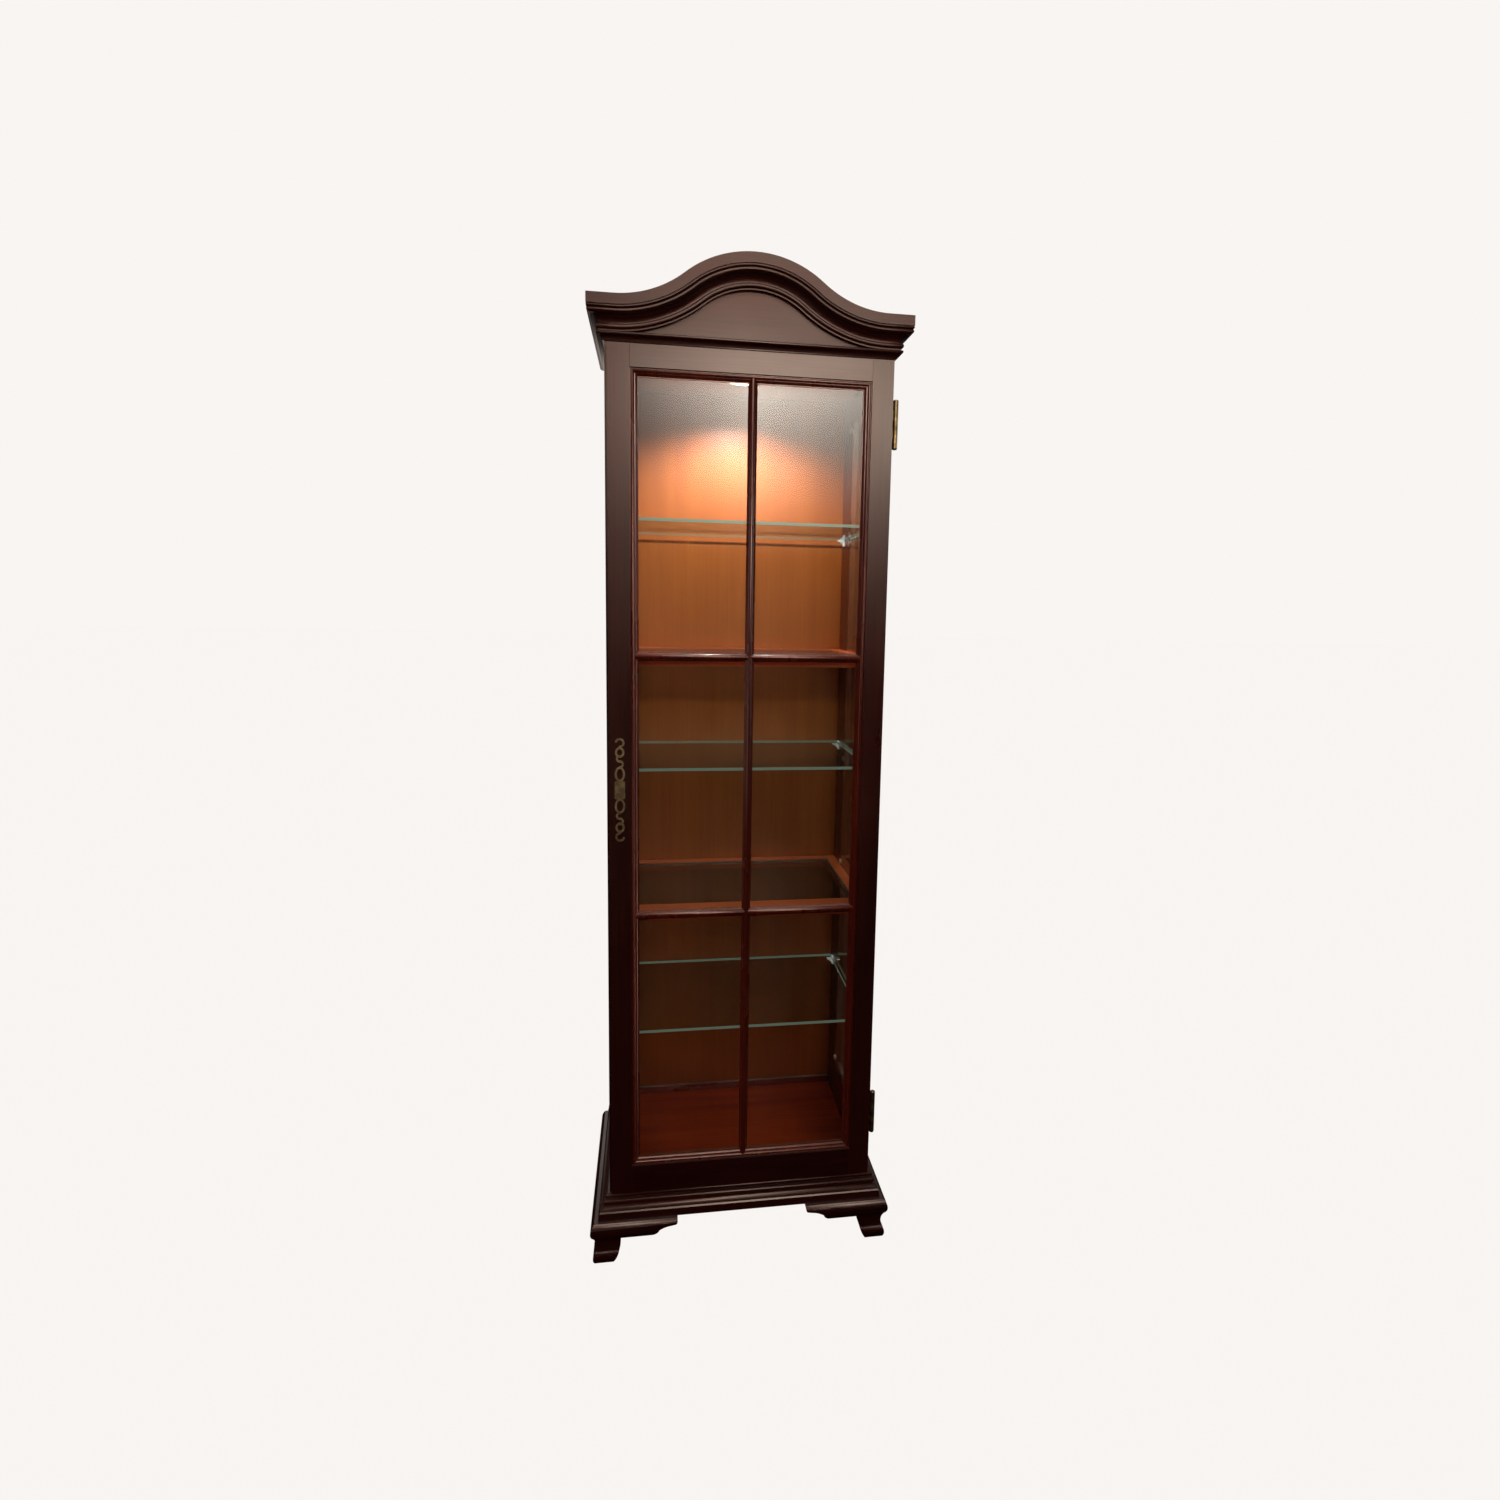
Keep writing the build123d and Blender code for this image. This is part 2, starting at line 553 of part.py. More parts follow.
def bar_section(setback):
    """Glazing bar: round nose with a small fillet each side; local y is the depth."""
    face = DOOR_FRONT + setback
    return face_from(
        ThreePointArc((-NOSE_HALF, face + 4.5), (0, face), (NOSE_HALF, face + 4.5)),
        Polyline((NOSE_HALF, face + 4.5), (NOSE_HALF, face + 6.5), (MUNTIN_HALF, face + 7.5),
                 (MUNTIN_HALF, GLASS_FRONT), (-MUNTIN_HALF, GLASS_FRONT), (-MUNTIN_HALF, face + 7.5),
                 (-NOSE_HALF, face + 6.5), (-NOSE_HALF, face + 4.5)),
    )


def main_solid(shape):
    """The largest solid of a coped bar, without the slivers left inside the moulding's steps."""
    return shape.solids().sort_by(SortBy.VOLUME)[-1]


def glazing_bars(strips):
    """One upright bar and four level half-bars coped to it and to the moulding."""
    upright = extrude(Pos(0, 0, SIGHT_BOTTOM) * bar_section(BAR_SETBACK), SIGHT_TOP - SIGHT_BOTTOM, dir=(0, 0, 1))
    upright = main_solid(upright - strips)
    bars = [upright]
    for height in FRAMED_SHELF_TOPS.values():
        level = extrude(level_plane(height) * bar_section(BAR_SETBACK + 0.5), SIGHT_X, dir=(-1, 0, 0))
        half = main_solid(level - upright - strips)
        bars += [half, mirrored(half)]
    return bars


def door_rail(z, tenon_z):
    """Rail of the door frame with its two tenons."""
    middle = (DOOR_FRONT + DOOR_BACK) / 2
    rail = block((-SIGHT_X, SIGHT_X), (DOOR_FRONT, DOOR_BACK), z)
    return rail + block((-SIGHT_X - TENON, SIGHT_X + TENON), (middle - 4, middle + 4), tenon_z)


def door_pieces():
    """Frame, moulding, glazing bars, one sheet of glass and the stops that hold it."""
    top_rail = door_rail((SIGHT_TOP, DOOR_TOP), (SIGHT_TOP + 8, DOOR_TOP - 10))
    low_rail = door_rail((DOOR_BOTTOM, SIGHT_BOTTOM), (DOOR_BOTTOM + 10, SIGHT_BOTTOM - 8))
    stile = block((SIGHT_X, DOOR_HALF), (DOOR_FRONT, DOOR_BACK), (DOOR_BOTTOM, DOOR_TOP))
    stile -= [top_rail, low_rail]
    strips = sight_strips()
    play = 2
    glass = block((-SIGHT_X + play, SIGHT_X - play), (GLASS_FRONT, GLASS_FRONT + DOOR_PANE),
                  (SIGHT_BOTTOM + play, SIGHT_TOP - play))
    stops = ring_of_strips((-SIGHT_X, SIGHT_BOTTOM), (SIGHT_X, SIGHT_TOP), 12,
                           (GLASS_FRONT + DOOR_PANE, DOOR_BACK))
    return {
        "door_left_stile": [mirrored(stile) - lock_hole()],
        "door_right_stile": [stile - door_hinge_housings()],
        "door_top_rail": [top_rail],
        "door_bottom_rail": [low_rail],
        "door_sight_moulding": strips,
        "door_glazing_bars": glazing_bars(strips),
        "door_glass": [glass],
        "door_glass_stops": stops,
    }


# ---------------------------------------------------------------- hinges
LEAF = 1.8                  # leaf thickness
LEAF_GAP = 0.15             # from the hinge's middle plane to each leaf
HINGE_PIN = 2.5
HINGE_BARREL = 5.5
HINGE_X = HALF + 6.0
HINGE_Y = (FRONT + DOOR_BACK) / 2
CASE_LEAF_EDGE = HINGE_X - 20   # the case leaf fits the thin edge of the side frame
DOOR_LEAF_EDGE = HINGE_X - 30
CASE_SCREW_X = (CASE_LEAF_EDGE + HALF) / 2
DOOR_SCREW_X = (DOOR_LEAF_EDGE + DOOR_HALF) / 2
CASE_LEAF_Y = (HINGE_Y + LEAF_GAP, HINGE_Y + LEAF_GAP + LEAF)
DOOR_LEAF_Y = (HINGE_Y - LEAF_GAP - LEAF, HINGE_Y - LEAF_GAP)
KNUCKLES = 5


def hinge_span(height):
    """(low, high) of a hinge centred at a height."""
    return height - HINGE_LENGTH / 2, height + HINGE_LENGTH / 2


def screw_heights():
    """Three screws in every leaf."""
    return [height + step * HINGE_LENGTH / 3 for height in HINGE_HEIGHTS for step in (-1, 0, 1)]


def wood_screw(x, y, z, inward, grow=0.0):
    """Flat-headed screw driven along inward, which is +1 or -1 along Y."""
    head = Cone(3 + grow, 1.3 + grow, LEAF)
    shank = Pos(0, 0, 7) * Cylinder(1.3 + grow, 14)
    turn = Rot(-90 * inward, 0, 0)
    return Pos(x, y + inward * LEAF / 2, z) * turn * (head + shank)


def case_screws():
    """Screws through the case leaves."""
    return [wood_screw(CASE_SCREW_X, CASE_LEAF_Y[0], z, 1) for z in screw_heights()]


def door_screws():
    """Screws through the door leaves."""
    return [wood_screw(DOOR_SCREW_X, DOOR_LEAF_Y[1], z, -1) for z in screw_heights()]


def case_hinge_housings():
    """What the case leaves and their screws need cut out of the right front stile."""
    housings = [block((CASE_LEAF_EDGE, HALF), (FRONT, CASE_LEAF_Y[1]), hinge_span(height))
                for height in HINGE_HEIGHTS]
    return housings + case_screws()


def door_hinge_housings():
    """What the door leaves and their screws need cut out of the door's right stile."""
    housings = [block((DOOR_LEAF_EDGE, DOOR_HALF), (DOOR_LEAF_Y[0], DOOR_BACK), hinge_span(height))
                for height in HINGE_HEIGHTS]
    return housings + door_screws()


def hinge_leaf(height, edge, y, own, bore, screws):
    """One leaf with its own knuckles rolled round the pin."""
    low, high = hinge_span(height)
    leaf = block((edge, HINGE_X - HINGE_BARREL - 0.6), y, (low, high))
    step = HINGE_LENGTH / KNUCKLES
    for index in own:
        start = low + index * step + LEAF_GAP
        length = step - 2 * LEAF_GAP
        leaf += block((edge, HINGE_X), y, (start, start + length))
        leaf += rod(HINGE_BARREL, (HINGE_X, HINGE_Y, start), length, (0, 0, 1))
    return leaf - rod(bore, (HINGE_X, HINGE_Y, low), high - low, (0, 0, 1)) - screws


def hinge_pin(height):
    """Loose pin with a domed button at each end."""
    low, high = hinge_span(height)
    pin = rod(HINGE_PIN, (HINGE_X, HINGE_Y, low - 1), high - low + 2, (0, 0, 1))
    upper = rod(HINGE_BARREL, (HINGE_X, HINGE_Y, high + 0.2), 3.5, (0, 0, 1))
    upper = fillet(upper.faces().sort_by(Axis.Z)[-1].edges(), 3)
    return pin + upper + mirror(upper, about=Plane.XY.offset(height))


def hinge_pieces():
    """Two butt hinges with the barrels standing outside the right edge of the door."""
    return {
        "hinge_case_leaves": [hinge_leaf(height, CASE_LEAF_EDGE, CASE_LEAF_Y, (0, 2, 4), HINGE_PIN + 0.02,
                                         case_screws()) for height in HINGE_HEIGHTS],
        "hinge_door_leaves": [hinge_leaf(height, DOOR_LEAF_EDGE, DOOR_LEAF_Y, (1, 3), HINGE_PIN + 0.05,
                                         door_screws()) for height in HINGE_HEIGHTS],
        "hinge_pins": [hinge_pin(height) for height in HINGE_HEIGHTS],
        "hinge_case_screws": case_screws(),
        "hinge_door_screws": door_screws(),
    }


# ---------------------------------------------------------------- lock and escutcheon
LOCK_RADIUS = 7.0
PLUG_RADIUS = 4.5
CAM_REACH = 16.0
PLATE = 2.0
PLATE_HALF_WIDTH = 10.0
PLATE_BLOCK = 36.0          # height of the solid middle of the plate
SCROLL = 4.0                # width of the pierced plate's bars


def along_y(radius, y):
    """Cylinder on the lock's axis between two Y values."""
    return rod(radius, (LOCK_X, y[0], LOCK_HEIGHT), y[1] - y[0], (0, 1, 0))


def lock_flange(grow=0.0):
    """Rear plate of the lock, let into the back of the door stile."""
    half_x = LOCK_RADIUS - 0.2 + grow
    return block((LOCK_X - half_x, LOCK_X + half_x), (DOOR_BACK - 2, DOOR_BACK),
                 (LOCK_HEIGHT - 16 - grow, LOCK_HEIGHT + 16 + grow))


def lock_hole():
    """What the lock needs cut out of the left stile."""
    return [along_y(LOCK_RADIUS + 0.1, (DOOR_FRONT, DOOR_BACK)), lock_flange(0.1)]


def lock_pieces():
    """Fixed housing, turning plug with its keyway, and the cam on the plug's tail."""
    tail = DOOR_BACK + 7
    housing = along_y(LOCK_RADIUS, (DOOR_FRONT + 0.5, DOOR_BACK + 3)) + lock_flange()
    housing -= along_y(PLUG_RADIUS + 0.06, (DOOR_FRONT, tail))
    plug = along_y(PLUG_RADIUS, (DOOR_FRONT - 0.5, DOOR_BACK + 4))
    square = ((LOCK_X - 2.5, LOCK_X + 2.5), (LOCK_HEIGHT - 2.5, LOCK_HEIGHT + 2.5))
    plug += block(square[0], (DOOR_BACK + 4, tail), square[1])
    plug -= along_y(1.6, (DOOR_FRONT - 0.5, DOOR_FRONT + 12))
    plug -= block((LOCK_X - 0.6, LOCK_X + 0.6), (DOOR_FRONT - 0.5, DOOR_FRONT + 12),
                  (LOCK_HEIGHT - 3.6, LOCK_HEIGHT))
    cam = block((LOCK_X - 5, LOCK_X + 5), (tail - 2.5, tail), (LOCK_HEIGHT - 6, LOCK_HEIGHT + CAM_REACH))
    cam -= block(square[0], (tail - 2.5, tail), square[1])
    return {"lock_housing": [housing], "lock_plug": [plug], "lock_cam": [cam]}


def scroll_arc(centre, radius, start, sweep_angle):
    """A curved bar of the pierced plate."""
    return SlotArc(CenterArc(centre, radius, start, sweep_angle), SCROLL)


def escutcheon_half():
    """Upper half of the pierced plate: long ring, S scroll, round ring and open hook."""
    long_ring = Pos(0, 32) * (Ellipse(10, 15) - Ellipse(6, 11))
    lower_c = scroll_arc((0, 52), 6, -90, 200)
    upper_c = scroll_arc((0, 63), 5.5, -90, -200)
    round_ring = Pos(0, 75.5) * (Ellipse(9, 10.5) - Ellipse(5, 6.5))
    hook = scroll_arc((0, 94.5), 7.5, -90, 250)
    return long_ring + lower_c + upper_c + round_ring + hook


def escutcheon_piece():
    """Long pierced plate, the same turned end for end, with a solid middle round the keyway."""
    half = escutcheon_half()
    middle = RectangleRounded(2 * PLATE_HALF_WIDTH, PLATE_BLOCK, 3)
    outline = middle + half + Rot(0, 0, 180) * half
    face = Plane(origin=(LOCK_X, DOOR_FRONT, LOCK_HEIGHT), x_dir=(1, 0, 0), z_dir=(0, -1, 0))
    plate = extrude(face * outline, PLATE)
    plate += extrude(face * RectangleRounded(2 * PLATE_HALF_WIDTH - 4, PLATE_BLOCK - 6, 2), PLATE + 1.2)
    return plate - along_y(PLUG_RADIUS + 0.4, (DOOR_FRONT - PLATE - 2, DOOR_FRONT))


# ---------------------------------------------------------------- all nodes
def all_pieces():
    """Every node of the cabinet with its list of separate solids."""
    pieces = {}
    for group in (case_pieces(), crown_pieces(), base_pieces(), shelf_pieces(), lamp_pieces(),
                  door_pieces(), hinge_pieces(), lock_pieces()):
        pieces.update(group)
    pieces["escutcheon_plate"] = [escutcheon_piece()]
    return pieces


def write_pieces():
    """One STEP file per node; the solids of a node stay separate."""
    os.makedirs("parts", exist_ok=True)
    for name, shapes in all_pieces().items():
        solids = [solid for shape in shapes for solid in shape.solids()]
        export_step(Compound(children=solids, label=name), f"parts/{name}.step")


write_pieces()
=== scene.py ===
"""Display cabinet: materials, softened edges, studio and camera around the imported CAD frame."""
import math

import bpy
from mathutils import Matrix, Vector


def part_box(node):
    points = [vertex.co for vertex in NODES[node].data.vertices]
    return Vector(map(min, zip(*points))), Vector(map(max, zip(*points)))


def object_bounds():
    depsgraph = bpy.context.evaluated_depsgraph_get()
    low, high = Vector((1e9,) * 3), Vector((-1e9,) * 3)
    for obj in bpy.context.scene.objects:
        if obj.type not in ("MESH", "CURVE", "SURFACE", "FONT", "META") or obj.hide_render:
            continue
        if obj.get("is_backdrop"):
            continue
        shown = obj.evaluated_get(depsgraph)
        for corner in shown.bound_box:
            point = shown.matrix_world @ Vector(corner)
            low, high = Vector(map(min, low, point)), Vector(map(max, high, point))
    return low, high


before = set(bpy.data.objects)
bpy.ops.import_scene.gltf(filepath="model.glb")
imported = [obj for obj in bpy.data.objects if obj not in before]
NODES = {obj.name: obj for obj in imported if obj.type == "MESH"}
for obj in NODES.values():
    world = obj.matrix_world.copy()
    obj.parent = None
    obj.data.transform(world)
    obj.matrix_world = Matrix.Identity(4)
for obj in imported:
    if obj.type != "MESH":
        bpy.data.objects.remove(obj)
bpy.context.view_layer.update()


# ---------------------------------------------------------------- node graphs
class Graph:
    """A material's node tree, built one node at a time."""

    def __init__(self, name):
        self.material = bpy.data.materials.new(name)
        self.material.use_nodes = True
        self.tree = self.material.node_tree
        self.tree.nodes.clear()
        self.output = self.tree.nodes.new("ShaderNodeOutputMaterial")
        self.place = self.add("TexCoord").outputs["Object"]

    def add(self, kind, settings=None, **inputs):
        """A node of that kind; inputs are sockets or plain values by socket name, with _ for spaces."""
        node = self.tree.nodes.new("ShaderNode" + kind)
        for key, value in (settings or {}).items():
            setattr(node, key, value)
        for key, value in inputs.items():
            by_index = key[0] == "i" and key[1:].isdigit()
            self.put(node.inputs[int(key[1:]) if by_index else key.replace("_", " ")], value)
        return node

    def put(self, socket, value):
        """Links or sets one input."""
        if isinstance(value, bpy.types.NodeSocket):
            self.tree.links.new(value, socket)
        elif socket.type == "RGBA" and len(value) == 3:
            socket.default_value = (*value, 1.0)
        else:
            socket.default_value = value

    def maths(self, operation, a, b=0.0, clamp=False):
        """One sum on plain numbers."""
        return self.add("Math", {"operation": operation, "use_clamp": clamp}, i0=a, i1=b).outputs[0]

    def stretched(self, scale, offset=(0.0, 0.0, 0.0), place=None):
        """Object coordinates scaled unevenly, so that a texture runs along one axis."""
        source = self.place if place is None else place
        return self.add("Mapping", Vector=source, Scale=scale, Location=offset).outputs[0]

    def noise(self, place, scale=1.0, detail=4.0, roughness=0.55, distortion=0.0):
        """Noise between 0 and 1."""
        return self.add("TexNoise", Vector=place, Scale=scale, Detail=detail, Roughness=roughness,
                        Distortion=distortion).outputs["Fac"]

    def ramp(self, factor, low, high, start=0.0, end=1.0):
        """factor taken from start..end to low..high, clamped."""
        node = self.add("MapRange", Value=factor)
        for name, value in (("From Min", start), ("From Max", end), ("To Min", low), ("To Max", high)):
            node.inputs[name].default_value = value
        return node.outputs[0]

    def blend(self, factor, a, b):
        """A colour between a and b."""
        node = self.add("Mix", {"data_type": "RGBA"}, i0=factor)
        self.put(node.inputs[6], a)
        self.put(node.inputs[7], b)
        return node.outputs[2]

    def facing_up(self):
        """1 on faces that look up, 0 on the others."""
        normal = self.add("NewGeometry").outputs["Normal"]
        height = self.add("SeparateXYZ", Vector=normal).outputs["Z"]
        return self.ramp(height, 0.0, 1.0, 0.6, 0.95)

    def finish(self, shader):
        """Connects the surface and returns the material."""
        self.tree.links.new(shader, self.output.inputs["Surface"])
        return self.material


# ---------------------------------------------------------------- wood
# Texture scales per metre, along the grain and across it.
RIBBON_SCALE = (1.2, 16.0)
FIBRE_SCALE = (5.0, 210.0)
PORE_SCALE = (190.0, 1500.0)
SMEAR_SCALE = (3.0, 9.0)
EDGE_RADIUS = 0.0022            # how far from a corner the lacquer is rubbed
# Pale grey-pink for up-facing faces: partly dust, partly a painted highlight on ledges.
DUST_AND_HIGHLIGHT = (0.42, 0.36, 0.32)
COAT_ROUGHNESS = 0.16
LACQUER_IOR = 1.5

MAHOGANY_DARK = (0.030, 0.0022, 0.0010)
MAHOGANY_LIGHT = (0.085, 0.0080, 0.0030)
MOULDING_DARK = (0.13, 0.011, 0.0050)
MOULDING_LIGHT = (0.29, 0.036, 0.016)
PANEL_DARK = (0.37, 0.088, 0.008)
PANEL_LIGHT = (0.46, 0.122, 0.013)
SHELF_DARK = (0.52, 0.080, 0.020)
SHELF_LIGHT = (0.86, 0.170, 0.045)
FLOOR_DARK = (0.55, 0.040, 0.003)
FLOOR_LIGHT = (0.88, 0.110, 0.006)
BARE_DARK = (0.28, 0.17, 0.09)
BARE_LIGHT = (0.46, 0.31, 0.18)


def grain_scale(axis, along, across):
    """Texture scale with the grain running along axis 0, 1 or 2."""
    return tuple(along if index == axis else across for index in range(3))


def per_board(graph):
    """Object coordinates shifted by a different amount for each CAD node, so that no two boards match."""
    shift = graph.maths("MULTIPLY", graph.add("ObjectInfo").outputs["Random"], 7.0)
    return graph.add("VectorMath", {"operation": "ADD"}, i0=graph.place, i1=shift).outputs[0]


def wood(name, axis, dark, light, gloss=0.32, coat=0.3, dust=0.12, wear=0.35,
         worn=(0.16, 0.05, 0.025)):
    """Lacquered wood: ribbon figure, fine fibres and pores along axis, rubbed edges, and on up-facing
    faces a pale veil that is partly dust and partly painted highlight.
    """
    graph = Graph(name)
    board = per_board(graph)
    ribbon_place = graph.stretched(grain_scale(axis, *RIBBON_SCALE), place=board)
    ribbon = graph.noise(ribbon_place, detail=3.0, distortion=0.6)
    fibre_place = graph.stretched(grain_scale(axis, *FIBRE_SCALE), place=board)
    fibre = graph.noise(fibre_place, detail=5.0, roughness=0.7)
    pores = graph.noise(graph.stretched(grain_scale(axis, *PORE_SCALE), place=board), detail=2.0)
    ribbon_part = graph.maths("MULTIPLY", ribbon, 0.55)
    figure = graph.maths("ADD", ribbon_part, graph.maths("MULTIPLY", fibre, 0.45))
    colour = graph.blend(graph.ramp(figure, 0.0, 1.0, 0.36, 0.66), dark, light)
    pore_mask = graph.ramp(pores, 0.0, 1.0, 0.64, 0.72)
    pore_colour = tuple(0.3 * value for value in dark)
    colour = graph.blend(graph.maths("MULTIPLY", pore_mask, 0.45), colour, pore_colour)
    normal = graph.add("NewGeometry").outputs["Normal"]
    rounded = graph.add("Bevel", {"samples": 4}, Radius=EDGE_RADIUS).outputs[0]
    both = graph.add("VectorMath", {"operation": "DOT_PRODUCT"}, i0=normal, i1=rounded)
    bend = both.outputs["Value"]
    patchy = graph.ramp(graph.noise(board, scale=26.0), 0.0, 1.0, 0.35, 0.7)
    edge = graph.maths("MULTIPLY", graph.ramp(bend, 1.0, 0.0, 0.88, 0.995), patchy)
    colour = graph.blend(graph.maths("MULTIPLY", edge, wear), colour, worn)
    # Up-facing faces paled in patches: partly dust, partly a painted highlight; dust sets how strong.
    drifts = graph.ramp(graph.noise(board, scale=9.0), 0.5, 1.0, 0.3, 0.7)
    dust_and_highlight = graph.maths("MULTIPLY", graph.maths("MULTIPLY", graph.facing_up(), drifts), dust)
    colour = graph.blend(dust_and_highlight, colour, DUST_AND_HIGHLIGHT)
    smear = graph.noise(graph.stretched(grain_scale(axis, *SMEAR_SCALE), place=board), detail=4.0)
    rough = graph.maths("ADD", graph.ramp(smear, gloss - 0.06, gloss + 0.06, 0.3, 0.7),
                        graph.maths("MULTIPLY", dust_and_highlight, 1.5), clamp=True)
    height = graph.maths("SUBTRACT", graph.maths("MULTIPLY", fibre, 0.35), pore_mask)
    bump = graph.add("Bump", Strength=0.09, Distance=0.0003, Height=height).outputs[0]
    shader = graph.add("BsdfPrincipled", Base_Color=colour, Roughness=rough, Normal=bump)
    shader.inputs["Coat Weight"].default_value = coat
    shader.inputs["Coat Roughness"].default_value = COAT_ROUGHNESS
    shader.inputs["IOR"].default_value = LACQUER_IOR
    return graph.finish(shader.outputs[0])


# ---------------------------------------------------------------- glass
EDGE_GLOW = 0.4                 # light that the sheet has carried to its ground edges
GLASS_IOR = 1.5
MIRROR_SHARE = 0.95             # of the Fresnel reflection
MIRROR_TINT = (0.74, 0.88, 0.96)
GLASS_DUST = (0.85, 0.83, 0.80)


def glass(name, tint, haze=0.02, edge=None):
    """Thin clear glass: one reflection per sheet, a little dust and, if asked, tinted ground edges that
    glow with painted light.
    """
    graph = Graph(name)
    front = graph.maths("SUBTRACT", 1.0, graph.add("NewGeometry").outputs["Backfacing"])
    fresnel = graph.add("Fresnel", IOR=GLASS_IOR).outputs[0]
    share = graph.maths("MULTIPLY", fresnel, graph.maths("MULTIPLY", front, MIRROR_SHARE), clamp=True)
    clear = graph.add("BsdfTransparent", Color=tint).outputs[0]
    mirror = graph.add("BsdfGlossy", Color=MIRROR_TINT, Roughness=0.03).outputs[0]
    surface = graph.add("MixShader", i0=share, i1=clear, i2=mirror).outputs[0]
    streaks = graph.noise(graph.stretched((5.0, 5.0, 2.2)), detail=6.0, roughness=0.65)
    film = graph.maths("MULTIPLY", graph.ramp(streaks, haze * 0.4, haze * 1.8, 0.35, 0.7), front)
    dust = graph.add("BsdfDiffuse", Color=GLASS_DUST).outputs[0]
    surface = graph.add("MixShader", i0=film, i1=surface, i2=dust).outputs[0]
    if edge is not None:
        normal = graph.add("NewGeometry").outputs["Normal"]
        level = graph.maths("ABSOLUTE", graph.add("SeparateXYZ", Vector=normal).outputs["Z"])
        side = graph.ramp(level, 1.0, 0.0, 0.3, 0.7)
        # Ground edges: partly lit through from behind, partly a painted glow for light carried in the
        # sheet.
        lit = graph.add("BsdfTranslucent", Color=edge).outputs[0]
        ground = graph.add("BsdfPrincipled", Base_Color=edge, Roughness=0.18, Emission_Color=edge)
        ground.inputs["Emission Strength"].default_value = EDGE_GLOW
        lit_and_glowing_edge = graph.add("MixShader", i0=0.6, i1=lit, i2=ground.outputs[0]).outputs[0]
        surface = graph.add("MixShader", i0=side, i1=surface, i2=lit_and_glowing_edge).outputs[0]
    return graph.finish(surface)


def bent_glass(name, tint):
    """Side glass that bends what is behind it; lamps shine straight through."""
    graph = Graph(name)
    smudge = graph.noise(graph.stretched((4.0, 4.0, 2.0)), detail=5.0)
    pane = graph.add("BsdfPrincipled", Base_Color=tint, Roughness=graph.ramp(smudge, 0.0, 0.04, 0.4, 0.7))
    pane.inputs["Transmission Weight"].default_value = 1.0
    pane.inputs["IOR"].default_value = GLASS_IOR
    through = graph.add("BsdfTransparent", Color=tint).outputs[0]
    shadow = graph.add("LightPath").outputs["Is Shadow Ray"]
    return graph.finish(graph.add("MixShader", i0=shadow, i1=pane.outputs[0], i2=through).outputs[0])


# ---------------------------------------------------------------- metal, paint and plastic
def metal(name, bright, tarnish, rough=0.32, grime=0.5):
    """Cast or pressed metal, tarnished in patches and duller in its hollows."""
    graph = Graph(name)
    patches = graph.noise(graph.place, scale=70.0, detail=5.0, roughness=0.6)
    specks = graph.noise(graph.place, scale=900.0, detail=2.0)
    colour = graph.blend(graph.ramp(patches, 0.0, 1.0, 0.38, 0.66), tarnish, bright)
    occlusion = graph.add("AmbientOcclusion", {"samples": 4, "only_local": True}, Distance=0.004)
    hollow = occlusion.outputs["AO"]
    dirt = graph.maths("MULTIPLY", graph.ramp(hollow, 1.0, 0.0, 0.35, 0.9), grime)
    colour = graph.blend(dirt, colour, tuple(0.18 * value for value in tarnish))
    bump = graph.add("Bump", Strength=0.25, Distance=0.0002, Height=specks).outputs[0]
    dulled = graph.ramp(patches, rough + 0.14, rough - 0.08)
    shader = graph.add("BsdfPrincipled", Base_Color=colour, Roughness=dulled, Normal=bump)
    shader.inputs["Metallic"].default_value = 1.0
    return graph.finish(shader.outputs[0])


def paint(name, colour, rough, speck=0.03, glow=0.0):
    """Sprayed paint or moulded plastic; glow stands in for the light that clear plastic carries."""
    graph = Graph(name)
    cloud = graph.noise(graph.place, scale=40.0, detail=4.0)
    peel = graph.noise(graph.place, scale=1500.0, detail=2.0)
    darker = tuple(value * (1 - speck * 4) for value in colour)
    shade = graph.blend(graph.ramp(cloud, 0.0, 1.0, 0.35, 0.65), darker, colour)
    bump = graph.add("Bump", Strength=0.15, Distance=0.0002, Height=peel).outputs[0]
    sheen = graph.ramp(cloud, rough - 0.05, rough + 0.08)
    shader = graph.add("BsdfPrincipled", Base_Color=shade, Roughness=sheen, Normal=bump,
                       Emission_Color=colour)
    shader.inputs["Emission Strength"].default_value = glow
    return graph.finish(shader.outputs[0])


def glowing(name, colour, strength):
    """Frosted lamp glass, lit from inside and slightly mottled."""
    graph = Graph(name)
    mottled = graph.ramp(graph.noise(graph.place, scale=160.0), 0.92, 1.0)
    shader = graph.add("BsdfPrincipled", Base_Color=colour, Roughness=0.4, Emission_Color=colour)
    graph.put(shader.inputs["Emission Strength"], graph.maths("MULTIPLY", mottled, strength))
    return graph.finish(shader.outputs[0])


# ---------------------------------------------------------------- dressing the CAD nodes
X_AXIS, Y_AXIS, Z_AXIS = 0, 1, 2
WELD_REACH = 0.00002
ROUND_WOOD = 0.0008             # widths of the rounded edges
ROUND_DOOR = 0.0004
ROUND_BRASS = 0.0006
ROUND_CLEAT = 0.0025
DOOR_FRAME = ["door_left_stile", "door_right_stile", "door_top_rail", "door_bottom_rail"]
ACROSS = {
    X_AXIS: ["front_bottom_rail", "front_top_rail", "neck_front_moulding", "base_front_moulding",
             "door_top_rail", "door_bottom_rail", "front_left_foot", "front_right_foot"],
    Y_AXIS: ["left_top_rail", "left_bottom_rail", "right_top_rail", "right_bottom_rail",
             "neck_side_returns", "base_side_mouldings", "base_side_aprons", "rear_left_foot",
             "rear_right_foot"],
    Z_AXIS: ["left_front_stile", "left_rear_stile", "right_front_stile", "right_rear_stile",
             "door_left_stile", "door_right_stile"],
}
